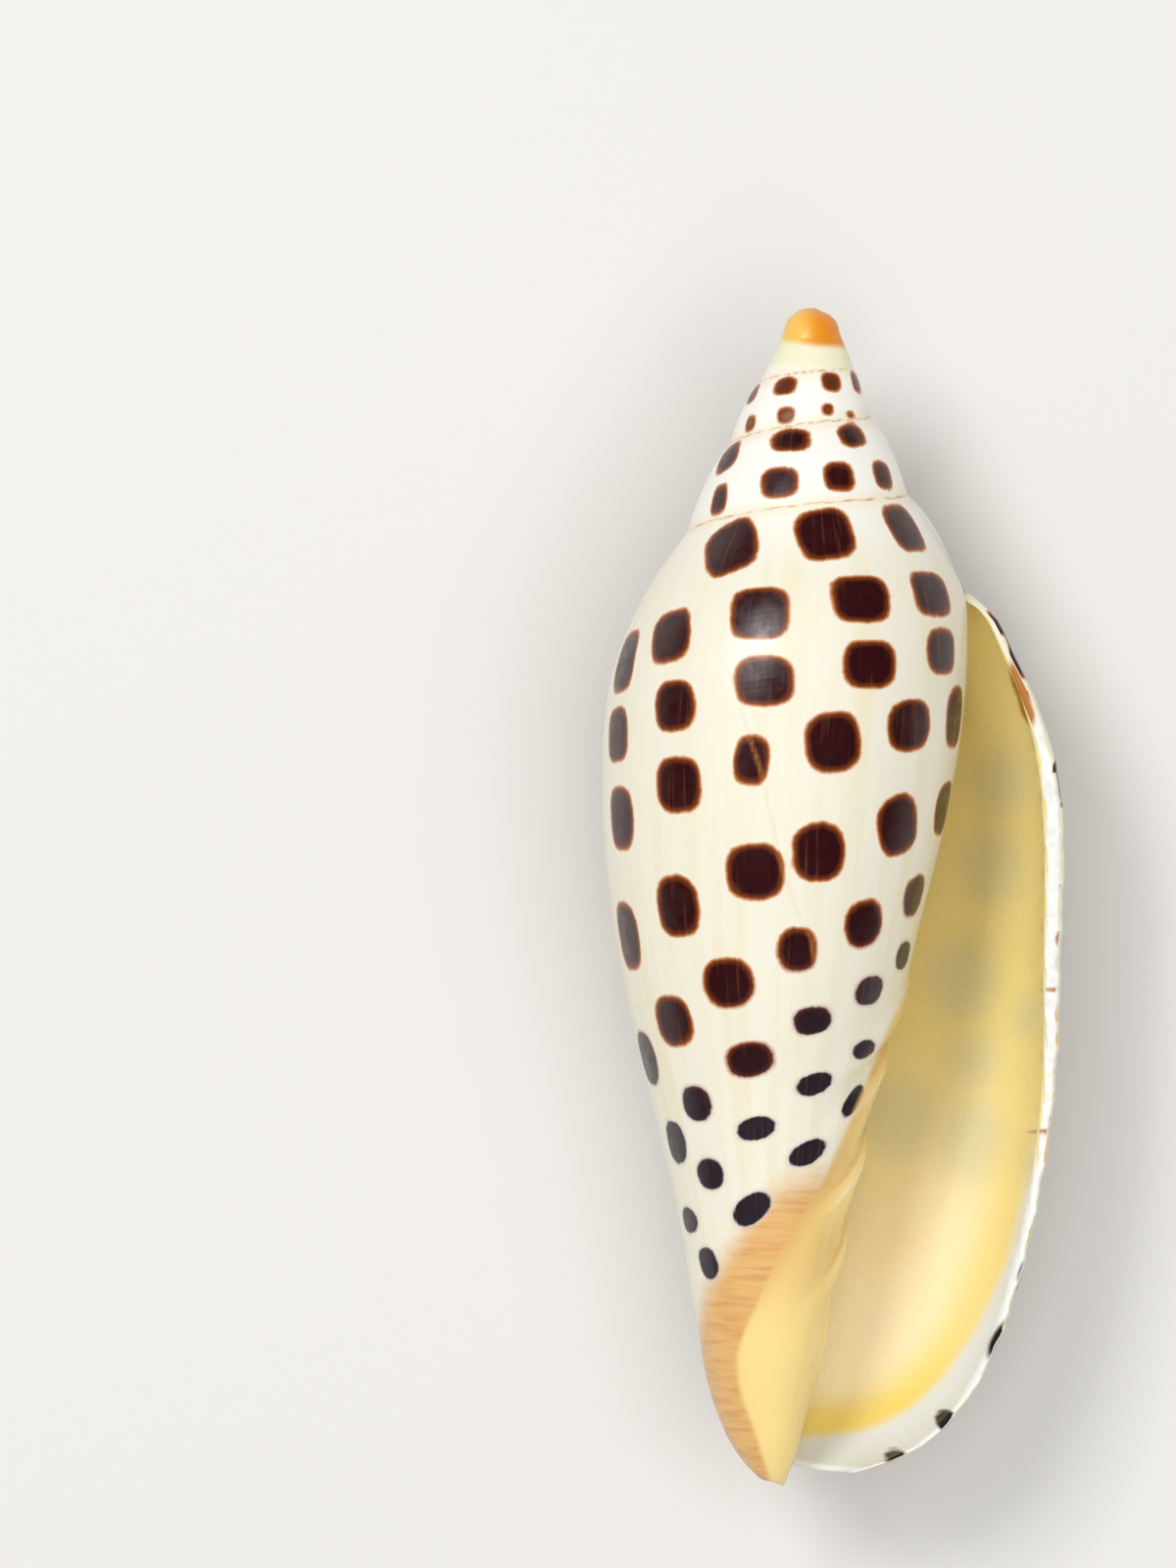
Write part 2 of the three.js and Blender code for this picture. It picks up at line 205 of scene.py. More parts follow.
def place(turn, down, radius):
    # metres in the frame, lifted where the small flat spot on the back is
    angle = 2 * math.pi * turn
    across = radius * math.cos(angle) + shell["axisAcross"]
    height = radius * math.sin(angle) + shell["axisHeight"]
    return Vector((across * mm, (shell["length"] / 2 - down) * mm, max(height, 0) * mm))


def growGrid(bm, turns, heights, radii, side, layers):
    # one create_grid laid on the shell: a column for each turn, a row for each height
    columns, rows = heights.shape
    made = bmesh.ops.create_grid(bm, x_segments=columns - 1, y_segments=rows - 1, size=1)
    grid = {}
    for vert in made["verts"]:
        column = round((vert.co.x + 1) / 2 * (columns - 1))
        row = round((vert.co.y + 1) / 2 * (rows - 1))
        down = heights[column, row]
        radius = radii[column, row]
        vert.co = place(turns[column], down, radius)
        vert[layers["turn"]] = turns[column]
        vert[layers["down"]] = down
        vert[layers["out"]] = radius
        vert[layers["side"]] = side
        grid[column, row] = vert
    return grid


def bandHeights(turns, rows):
    top = sutureDown(turns)[:, None]
    nextTop = sutureDown(turns + 1)[:, None]
    return top + (nextTop - top) * (np.arange(rows + 1) / rows)[None, :]


def addPiece(bm, name):
    mesh = bpy.data.meshes.new(name)
    bm.to_mesh(mesh)
    bm.free()
    piece = bpy.data.objects.new(name, mesh)
    bpy.context.scene.collection.objects.link(piece)
    return piece


def buildShell():
    bm = bmesh.new()
    layers = {name: bm.verts.layers.float.new(name) for name in ("turn", "down", "out", "side")}
    step = 1 / shell["columnsPerTurn"]
    bandRows, lowerRows = shell["bandRows"], shell["lowerRows"]

    spireTurns = np.arange(shell["firstTurn"] * shell["columnsPerTurn"], -shell["columnsPerTurn"] + 1) * step
    spireHeights = bandHeights(spireTurns, bandRows)
    share = (np.arange(bandRows + 1) / bandRows)[None, :]
    spireRadii = spireRadius(spireTurns[:, None], share)
    overBody = spireTurns > -2 - step / 2
    spireRadii[overBody, -1] = bodyRadius(spireTurns[overBody] + 1, spireHeights[overBody, -1])
    spireRadii[-1] = bodyRadius(-1, spireHeights[-1])
    growGrid(bm, spireTurns, spireHeights, spireRadii, 0, layers)

    bodyTurns = np.arange(-shell["columnsPerTurn"], 1) * step
    nextTop = sutureDown(bodyTurns + 1)[:, None]
    lowerShare = (np.arange(1, lowerRows + 1) / lowerRows)[None, :]
    lower = nextTop + (baseDown(bodyTurns)[:, None] - nextTop) * lowerShare
    bodyHeights = np.hstack([bandHeights(bodyTurns, bandRows), lower])
    bodyRadii = bodyRadius(bodyTurns[:, None], bodyHeights)
    nearLip = 1 + bodyTurns / (shell["lipRoundColumns"] * step)
    bodyRadii -= shell["lipRound"] * (1 - np.sqrt(1 - np.clip(nearLip, 0, 1) ** 2))[:, None]
    uneven = sum(depth * np.sin(rate * bodyHeights + phase) for depth, rate, phase in shell["lipWaves"])
    uneven = uneven * smoothStep(shell["lipWavesTurn"], 0, bodyTurns)[:, None]
    bodyRadii -= uneven * smoothStep(*shell["lipWavesFrom"], bodyHeights)
    bodyRadii[-1, 0] = bodyRadius(-1, bodyHeights[-1, 0])
    body = growGrid(bm, bodyTurns, bodyHeights, bodyRadii, 0, layers)
    lastColumn = len(bodyTurns) - 1
    lastRow = bandRows + lowerRows

    # top of the hollow: the first parietal row where the lip's wall leaves room
    hollowTop = bandRows
    while True:
        down = bodyHeights[0, hollowTop]
        if bodyRadius(0, down) - wallThickness(0, down) > bodyRadii[0, hollowTop]:
            break
        hollowTop += 1
    lipTop = int(np.argmin(np.abs(bodyHeights[-1] - bodyHeights[0, hollowTop])))

    hollowTurns = -np.arange(0, round(shell["hollowTurns"] * shell["columnsPerTurn"]) + 1, 2) * step
    tops = []
    for turn in hollowTurns:
        down = float(sutureDown(turn))
        while bodyRadius(turn, down) - wallThickness(turn, down) < innerRadius(turn, down):
            down += shell["gapStep"]
        tops.append(down)
    tops = np.array(tops)
    tops[0] = bodyHeights[0, hollowTop]
    closing = smoothStep(shell["openCanal"], 1, -hollowTurns)
    bottoms = baseDown(hollowTurns) + (shell["hollowEnd"] - baseDown(hollowTurns)) * closing

    # pillar side of the hollow, carrying the parietal column on inwards
    pillarRows = lastRow - hollowTop
    pillarShare = (np.arange(pillarRows + 1) / pillarRows)[None, :]
    pillarBottoms = bottoms.copy()
    pillarBottoms[0] = bodyHeights[0, lastRow]
    pillarHeights = tops[:, None] + (pillarBottoms - tops)[:, None] * pillarShare
    pillarRadii = innerRadius(hollowTurns[:, None], pillarHeights)
    pillarHeights[0] = bodyHeights[0, hollowTop:]
    pillarRadii[0] = bodyRadii[0, hollowTop:]
    pillar = growGrid(bm, hollowTurns, pillarHeights, pillarRadii, 1, layers)

    # wall side of the hollow, from the lip inwards
    wallRows = lastRow - lipTop
    wallShare = (np.arange(wallRows + 1) / wallRows)[None, :]
    wallHeights = tops[:, None] + (bottoms - tops)[:, None] * wallShare
    wallRadii = (bodyRadius(hollowTurns[:, None], np.minimum(wallHeights, baseDown(hollowTurns)[:, None]))
                 - wallThickness(hollowTurns[:, None], wallHeights))
    inner = innerRadius(hollowTurns[:, None], wallHeights)
    wallRadii = np.maximum(wallRadii, inner + shell["thinnestGap"])
    wallRadii[:, 0] = pillarRadii[:, 0]
    wallHeights[0, 1:] = bodyHeights[-1, lipTop + 1:]
    wallRadii[0, 1:] = (bodyRadii[-1] + shell["lipRound"] - wallThickness(0, bodyHeights[-1]))[lipTop + 1:]
    parietal = bodyRadius(-1, wallHeights[0, 1:])
    wallRadii[0, 1:] = np.maximum(wallRadii[0, 1:], parietal + shell["thinnestGap"])
    wall = growGrid(bm, hollowTurns, wallHeights, wallRadii, 2, layers)

    # lip: a narrow strip between the outer edge and the wall
    lipSteps = shell["lipSteps"]
    lipShare = np.arange(lipSteps + 1) / lipSteps
    outerEdge = bodyRadii[-1, lipTop:]
    innerEdge = wallRadii[0]
    lipHeights = np.empty((lipSteps + 1, wallRows + 1))
    lipRadii = np.empty_like(lipHeights)
    for column, part in enumerate(lipShare):
        lipHeights[column] = bodyHeights[-1, lipTop:] * (1 - part) + wallHeights[0] * part
        lipRadii[column] = outerEdge * (1 - part) + innerEdge * part
    growGrid(bm, np.zeros(lipSteps + 1), lipHeights, lipRadii, 3, layers)

    # base: flat edge of the open canal, and the closed slit beyond it
    canal = round(shell["openCanal"] * shell["columnsPerTurn"])
    canal -= canal % 2
    last = len(hollowTurns) - 1
    for column in range(last):
        if (column + 1) * 2 <= canal:
            outer = lastColumn - 2 * column
            bm.faces.new([body[outer, lastRow], body[outer - 1, lastRow], body[outer - 2, lastRow],
                          wall[column + 1, wallRows], wall[column, wallRows]])
        else:
            bm.faces.new([pillar[column, pillarRows], pillar[column + 1, pillarRows],
                          wall[column + 1, wallRows], wall[column, wallRows]])

    bmesh.ops.remove_doubles(bm, verts=bm.verts, dist=joinDistance)
    print("stage: skins joined", len(bm.verts), len(bm.faces))
    openEdges = [edge for edge in bm.edges if len(edge.link_faces) == 1]
    filled = bmesh.ops.holes_fill(bm, edges=openEdges, sides=0)
    bmesh.ops.triangulate(bm, faces=filled["faces"])
    bmesh.ops.recalc_face_normals(bm, faces=bm.faces)
    openEdges = [edge for edge in bm.edges if not edge.is_manifold]
    print("stage: shell closed, open edges", len(openEdges))
    for face in bm.faces:
        face.smooth = True
    return addPiece(bm, "shellBody")


shellPiece = buildShell()


# Spots are placed where the two views of the shell show them. Both views are 1200 by 1600 pixels.
frontView = {"apex": (827.8, 314), "tip": (790.2, 1517.6), "pixelsPerMm": 12.04, "back": False}
backView = {"apex": (417.6, 85), "tip": (399.6, 1288), "pixelsPerMm": 12.04, "back": True}
locateSteps = 20
rimShare = 0.995                # a spot at the very rim of a view is placed this far out


def fromView(view, x, y):
    # across and down in millimetres for a pixel of the view
    apex = np.array(view["apex"], float)
    axis = np.array(view["tip"], float) - apex
    axis /= np.linalg.norm(axis)
    offset = np.array([x, y], float) - apex
    down = float(offset @ axis) / view["pixelsPerMm"]
    across = float(offset @ np.array([axis[1], -axis[0]])) / view["pixelsPerMm"]
    return (-across if view["back"] else across), down


def outsideRadius(turn, down):
    if turn >= -1:
        return float(bodyRadius(turn, down))
    top, nextTop = float(sutureDown(turn)), float(sutureDown(turn + 1))
    return float(spireRadius(turn, min(max((down - top) / (nextTop - top), 0), 1)))


def whorlAt(around, down):
    turn = around - 1
    while down < float(sutureDown(turn)) and turn > shell["firstTurn"]:
        turn -= 1
    return turn


def locate(view, x, y):
    across, down = fromView(view, x, y)
    # the radius changes round the whorl, so the place is closed in on step by step
    around = 0.75 if view["back"] else 0.25
    for attempt in range(locateSteps):
        radius = outsideRadius(whorlAt(around, down), down)
        bend = math.acos(min(max(across / radius, -rimShare), rimShare)) / (2 * math.pi)
        around = 0.5 * around + 0.5 * (1 - bend if view["back"] else bend)
    return whorlAt(around, down), down


spotSeed = 7
spotClearAbove = 0.15           # mm of ground between a spot and the suture above it
spotClearBelow = 0.1

# Each row: size along and across the row in mm, corner squareness, tilt in degrees, then the
# pixels of its spots in the front and back views; a spot may carry its own size and tilt.
spotRows = {
    "shoulder": {
        "size": (4.9, 5.0), "square": 3.4, "tilt": 12,
        "front": [(745, 557, 5.0, 5.4, 30), (840, 540), (920, 535, 4.2, 4.6, 5)],
        "back": [(224, 430, 5.2, 8.6, 28), (303, 422, 5.2, 7.6, 20), (403, 412, 4.9, 7.4, 8),
                 (497, 400, 4.4, 7.2, -4), (560, 385, 4.2, 7.0, -14)],
    },
    "second": {
        "size": (4.9, 4.6), "square": 3.4, "tilt": 4,
        "front": [(637, 675, 4.4, 5.4, 8), (683, 650, 4.5, 4.6, 14), (773, 627, 5.1, 4.5, 4),
                  (877, 612, 5.2, 4.1, 2), (950, 606, 5.0, 3.9, 0)],
        "back": [(180, 550, 4.2, 5.4, 0), (256, 538, 4.9, 5.6, 2), (354, 522, 4.9, 5.5, 3),
                 (451, 514, 5.1, 5.4, 2), (543, 498, 5.3, 5.3, 4), (595, 480, 5.3, 5.2, 4)],
    },
    "third": {
        "size": (4.9, 4.5), "square": 3.0, "tilt": 2,
        "front": [(629, 750, 4.3, 4.6, 4), (687, 721, 4.3, 4.2, 4), (778, 696, 5.0, 4.2, 2),
                  (886, 679, 4.9, 4.0, 2), (960, 665, 4.4, 3.9, 0)],
        "back": [(183, 645, 4.1, 4.8, 0), (260, 635, 4.9, 5.2, 2), (361, 620, 4.9, 4.9, 0),
                 (463, 605, 5.5, 5.1, 4), (559, 584, 5.0, 5.1, 4), (601, 560, 4.4, 4.8, 4)],
    },
    "middle": {
        "size": (4.6, 4.9), "square": 2.7, "tilt": 4,
        "front": [(633, 835, 4.4, 5.4, 0), (691, 801, 4.6, 4.7, 2), (765, 776, 3.0, 4.2, -4),
                  (848, 758, 4.8, 5.1, 8), (927, 741, 4.8, 4.4, 8), (974, 732, 4.2, 5.2, 4)],
        "back": [(158, 770, 4.2, 5.8, 0), (209, 757, 4.0, 5.2, 0), (289, 738, 5.3, 5.7, 2),
                 (386, 720, 5.2, 5.4, 4), (481, 700, 5.4, 5.4, 8), (563, 676, 4.9, 5.9, 6),
                 (600, 645, 4.6, 5.2, 4), (157, 712, 2.4, 2.6, 0)],
    },
    "belt": {
        "size": (4.3, 4.8), "square": 2.7, "tilt": 6,
        "front": [(640, 955, 4.4, 5.8, 0), (690, 924, 4.4, 5.2, 2), (769, 889, 4.9, 4.8, 4),
                  (834, 869, 4.5, 5.0, 6), (915, 842, 4.6, 5.2, 20), (962, 825, 4.4, 4.6, 10)],
        "back": [(197, 853, 3.7, 4.1, 0), (287, 831, 4.3, 4.2, 6), (388, 802, 4.3, 3.4, 8),
                 (498, 774, 5.0, 3.2, 18), (577, 742, 4.2, 3.4, 10)],
    },
    "lower": {
        "size": (4.2, 4.6), "square": 2.5, "tilt": 10,
        "front": [(660, 1080, 4.4, 4.8, 0), (686, 1041, 4.3, 4.4, 4), (742, 1002, 4.5, 4.3, 8),
                  (812, 968, 3.4, 3.8, 8), (880, 942, 3.8, 4.1, 14), (932, 914, 3.7, 3.7, 10)],
        "back": [(151, 880, 3.4, 4.0, 0), (200, 938, 4.2, 5.4, -6), (268, 912, 4.8, 5.3, 0),
                 (356, 882, 5.1, 5.2, 10), (451, 853, 5.1, 4.6, 8), (530, 820, 4.6, 5.2, 18),
                 (572, 785, 4.4, 4.2, 10)],
    },
    "waist": {
        "size": (4.4, 4.6), "square": 2.4, "tilt": 8,
        "front": [(689, 1165, 3.4, 3.8, 0), (710, 1125, 3.3, 3.2, 6), (764, 1080, 4.3, 3.1, 14),
                  (828, 1040, 3.5, 2.6, 10), (886, 1010, 3.3, 2.8, 8), (921, 975, 3.0, 2.6, 0)],
        "back": [(165, 960, 3.6, 4.8, -10), (242, 1056, 4.1, 4.9, -8), (307, 1020, 4.8, 4.8, 2),
                 (385, 985, 4.5, 4.7, 12), (467, 947, 4.4, 4.3, 16), (528, 905, 4.4, 4.6, 20),
                 (195, 1007, 2.3, 2.4, 0)],
    },
    "neck": {
        "size": (3.6, 3.2), "square": 2.2, "tilt": 14,
        "front": [(703, 1245, 3.0, 2.4, 0), (724, 1197, 3.0, 2.9, 8), (771, 1150, 3.6, 2.1, 14),
                  (830, 1105, 3.5, 2.0, 18), (881, 1070, 2.8, 1.8, 10)],
        "back": [(205, 1083, 3.4, 4.4, -12), (263, 1167, 2.9, 2.9, 20), (316, 1124, 4.4, 3.3, 26),
                 (386, 1079, 4.1, 3.0, 12), (451, 1036, 3.7, 3.1, 18), (500, 995, 3.8, 3.3, 30)],
    },
    "base": {
        "size": (3.6, 2.8), "square": 2.2, "tilt": 30,
        "front": [(722, 1288, 2.5, 3.0, 20), (766, 1232, 4.0, 2.4, 38), (823, 1175, 3.7, 2.1, 28),
                  (870, 1122, 3.6, 1.5, 50)],
        "back": [(236, 1197, 2.6, 2.6, -20), (314, 1216, 3.5, 2.2, 20), (370, 1170, 4.4, 2.7, 32),
                 (438, 1117, 3.8, 2.6, 28), (485, 1065, 3.2, 2.6, 30), (275, 1250, 2.4, 1.4, -20),
                 (382, 1238, 4.6, 2.0, 38), (452, 1172, 3.6, 2.6, 36)],
    },
    "spireLow": {
        "size": (2.9, 2.5), "square": 3.0, "tilt": 6,
        "front": [(733, 511, 2.0, 2.8, 14), (794, 494, 3.25, 2.7, 4), (855, 488, 2.6, 2.6, 2),
                  (900, 486, 2.4, 2.5, -8)],
        "back": [(275, 355, 2.6, 3.2, 10), (325, 347, 3.0, 3.2, 6), (405, 338, 3.7, 3.2, 4),
                 (479, 330, 3.2, 3.0, 4), (524, 322, 2.8, 2.9, 2)],
    },
    "spireUpper": {
        "size": (3.3, 2.5), "square": 2.8, "tilt": 10,
        "front": [(742, 467, 3.0, 3.0, 30), (806, 448, 3.43, 2.2, 6), (867, 441, 2.7, 2.3, 14)],
        "back": [(317, 288, 3.2, 4.0, 34), (385, 278, 4.4, 3.6, 10), (463, 271, 3.2, 3.4, 2),
                 (507, 262, 3.0, 3.2, -10)],
    },
    "spireNarrow": {
        "size": (1.7, 1.6), "square": 2.6, "tilt": 4, "pale": 0.85,
        "front": [(765, 433, 1.2, 1.5, 10), (801, 425, 1.5, 1.5, 0), (844, 419, 1.0, 1.0, 0),
                  (867, 424, 0.9, 0.6, 0)],
        "back": [(335, 249, 1.7, 2.2, 10), (374, 239, 2.1, 1.9, 4), (428, 235, 2.2, 1.9, 2),
                 (471, 230, 1.5, 1.7, 0), (492, 226, 1.6, 1.8, 0)],
    },
    "spireTop": {
        "size": (1.9, 1.6), "square": 2.6, "tilt": 6, "pale": 0.3,
        "front": [(768, 402, 1.7, 1.9, 24), (801, 391, 2.0, 1.7, 6), (847, 387, 1.7, 1.75, -6),
                  (873, 390, 1.5, 2.0, -20)],
        "back": [(365, 204, 2.6, 1.9, 14), (430, 194, 2.7, 1.8, 4), (475, 190, 2.2, 1.8, -8)],
    },
    "spireFirst": {
        "size": (1.0, 1.4), "square": 3.0, "tilt": 0,
        "front": [],
        "back": [(370, 158, 0.8, 1.4, 0), (392, 156, 1.0, 1.5, 0), (427, 155, 1.2, 1.3, 0),
                 (457, 154, 0.9, 1.3, 0)],
    },
}

# Spots that the lip's edge cuts: (degrees round from the aperture, down, along, across)
lipSpotSquare = 2.6
lipSpots = [
    (357, 28.0, 3.6, 6.6), (357, 39.5, 3.0, 4.6), (355, 60.0, 2.2, 4.8),
    (358, 82.0, 3.0, 2.2), (357, 87.6, 3.2, 3.0), (357, 94.4, 3.4, 2.2), (352, 97.6, 3.2, 1.8),
]


def surfacePoint(turn, down):
    radius = outsideRadius(turn, down)
    angle = 2 * math.pi * turn
    return np.array([radius * math.cos(angle), -down, radius * math.sin(angle)])


def spotList():
    spots = []
    for name, row in spotRows.items():
        for view, entries in ((frontView, row["front"]), (backView, row["back"])):
            for entry in entries:
                turn, down = locate(view, entry[0], entry[1])
                along, across, tilt = row["size"] + (row["tilt"],) if len(entry) == 2 else entry[2:]
                if turn < -1:
                    down = min(down, float(sutureDown(turn + 1)) - across / 2 - spotClearBelow)
                down = max(down, float(sutureDown(turn)) + across / 2 + spotClearAbove)
                pale = row.get("pale", 0)
                spots.append((turn, down, along / 2, across / 2, tilt, row["square"], pale))
    for degrees, down, along, across in lipSpots:
        spots.append((degrees / 360 - 1, down, along / 2, across / 2, 0, lipSpotSquare, 0))
    return spots


# Edges of the coloured areas, in mm: (down, across) as seen from the front for the glaze on the
# pillar, and (degrees round from the aperture, down) for the top of the fasciole.
areas = {
    "glazeEdge": [(57.5, 9.9), (61, 8.3), (64, 7.1), (68, 5.6), (70.5, 4.7), (74.8, 2.8),
                  (77.6, 1.0), (83, -1.5), (88, -3.4), (91.5, -3.3), (95.7, -1.8), (99, -0.6)],
    "fascioleEdge": [(20, 72.0), (48, 72.4), (85, 73.2), (103, 74.8), (117, 77), (135, 79.7),
                     (159, 83), (180, 85.8), (215, 89.9), (290, 97.8), (350, 100)],
    # soft grey marks inside: front pixel, radius in mm
    "ghosts": [(1012, 885, 3.0), (985, 1000, 3.4), (920, 1143, 3.2), (992, 1165, 3.4),
               (997, 1085, 2.4), (1020, 800, 2.8), (1050, 1040, 1.6), (1048, 1180, 1.6)],
    # dark marks on the thin margin: front pixel, half sizes in mm, tilt
    "marginSpots": [(1047, 1297, 0.55, 1.1, 20), (1020, 1366, 0.6, 1.7, 28), (966, 1450, 1.0, 0.85, 40),
                    (914, 1488, 0.95, 0.75, 15)],
    # orange stain inside the top of the lip, then small brown marks and cracks down its edge
    "stains": [(1041, 700, 0.4, 1.5, -22), (1048, 724, 0.35, 0.9, -22), (1086, 893, 0.25, 1.3, 0),
               (1083, 958, 0.35, 0.5, 0), (1079, 1010, 0.35, 0.05, 0), (1071, 1155, 0.4, 0.05, 0)],
    # old growth scar on the front: pixels along the line
    "scar": [(742, 688), (752, 718), (760, 745), (770, 772), (776, 792), (784, 830), (791, 862),
             (799, 895), (810, 925), (826, 957), (830, 985)],
    "glazeTop": 57,             # mm down
    "fascioleTop": 60,
    "ghostTall": 1.25,          # height of a grey mark to its width
    "lipLineEnd": (0, 99.4),    # (across, down) where the lip's outline meets the pillar's tip
    # the fold lines carry painted shade in the creases and a painted highlight on the crests
    "creaseShadeShare": 1.2,         # of a fold's reach above its middle
    "crestHighlightShift": 0.2,
    "crestHighlightFrom": 0.02,          # turns
    "foldLineTurns": 0.1,       # where the lines along the folds start to die away
    "foldLineFading": 9,
}
outOfReach = 9.0                # mm, given to a place that a marking can't touch
spotReach = 3.0                 # mm, the same for the spots
spotWindow = (0.12, 9)          # how far round a spot is painted: turns along, mm down
spotProbe = (0.004, 0.3)        # half steps that give the surface's directions at a spot
onSutureMm = 0.001


def capsule(points, across, down):
    # distance in mm to a line through points
    best = np.full(across.shape, np.inf)
    for (ax, ay), (bx, by) in zip(points[:-1], points[1:]):
        length = (bx - ax) ** 2 + (by - ay) ** 2
        share = np.clip(((across - ax) * (bx - ax) + (down - ay) * (by - ay)) / length, 0, 1)
        best = np.minimum(best, np.hypot(across - ax - share * (bx - ax), down - ay - share * (by - ay)))
    return best


def ovalField(marks, across, down):
    # below zero inside a tilted oval, in mm
    best = np.full(across.shape, outOfReach)
    for x, y, wide, tall, tilt in marks:
        middleAcross, middleDown = fromView(frontView, x, y)
        c, s = math.cos(math.radians(tilt)), math.sin(math.radians(tilt))
        u = ((across - middleAcross) * c + (down - middleDown) * s) / wide
        v = (-(across - middleAcross) * s + (down - middleDown) * c) / tall
        best = np.minimum(best, (np.hypot(u, v) - 1) * min(wide, tall))
    return best


def cornerTurns(mesh, turn, down, outside):
    # growth position at each face corner, since a vertex on the suture belongs to two whorls
    corners = np.empty(len(mesh.loops), np.int32)
    mesh.loops.foreach_get("vertex_index", corners)
    starts = np.empty(len(mesh.polygons), np.int32)
    mesh.polygons.foreach_get("loop_start", starts)
    sizes = np.diff(np.append(starts, len(corners)))
    suture = np.abs(down - sutureDown(turn)) < onSutureMm
    lowest = shell["firstTurn"] - 1
    own = np.where(suture[corners], lowest, turn[corners])
    own = np.repeat(np.maximum.reduceat(own, starts), sizes)
    shift = np.where(outside[corners] & (own > lowest), np.round(own - turn[corners]), 0)
    return turn[corners] + shift


def spotFields(points, turn, down, outside):
    # for each vertex, the distance in mm to the nearest spot's edge, and that spot's tone and pallor
    rng = random.Random(spotSeed)
    edge = np.full(len(turn), spotReach)
    tone = np.full(len(turn), 0.5)
    pale = np.zeros(len(turn))
    sutureDistance = np.minimum(np.abs(down - sutureDown(turn)), np.abs(down - sutureDown(turn + 1)))
    onSuture = outside & (sutureDistance < onSutureMm)
    for spotTurn, spotDown, along, tall, tilt, square, spotPale in spotList():
        spotTone = rng.random()
        apart = np.abs(turn - spotTurn)
        apart = np.where(onSuture, np.abs(turn - spotTurn - np.round(turn - spotTurn)), apart)
        near = outside & (apart < spotWindow[0]) & (np.abs(down - spotDown) < spotWindow[1])
        middle = surfacePoint(spotTurn, spotDown)
        turnHalf, downHalf = spotProbe
        alongStep = surfacePoint(spotTurn + turnHalf, spotDown) - surfacePoint(spotTurn - turnHalf, spotDown)
        downStep = surfacePoint(spotTurn, spotDown + downHalf) - surfacePoint(spotTurn, spotDown - downHalf)
        alongStep /= np.linalg.norm(alongStep)
        downStep -= alongStep * (alongStep @ downStep)
        downStep /= np.linalg.norm(downStep)
        c, s = math.cos(math.radians(tilt)), math.sin(math.radians(tilt))
        offset = points[near] - middle
        u = offset @ (alongStep * c + downStep * s) / along
        v = offset @ (downStep * c - alongStep * s) / tall
        reach = (np.abs(u) ** square + np.abs(v) ** square) ** (1 / square)
        distance = (reach - 1) * 0.5 * (along + tall)
        closer = distance < edge[near]
        index = np.flatnonzero(near)[closer]
        edge[index] = distance[closer]
        tone[index] = spotTone
        pale[index] = spotPale
    return edge, tone, pale


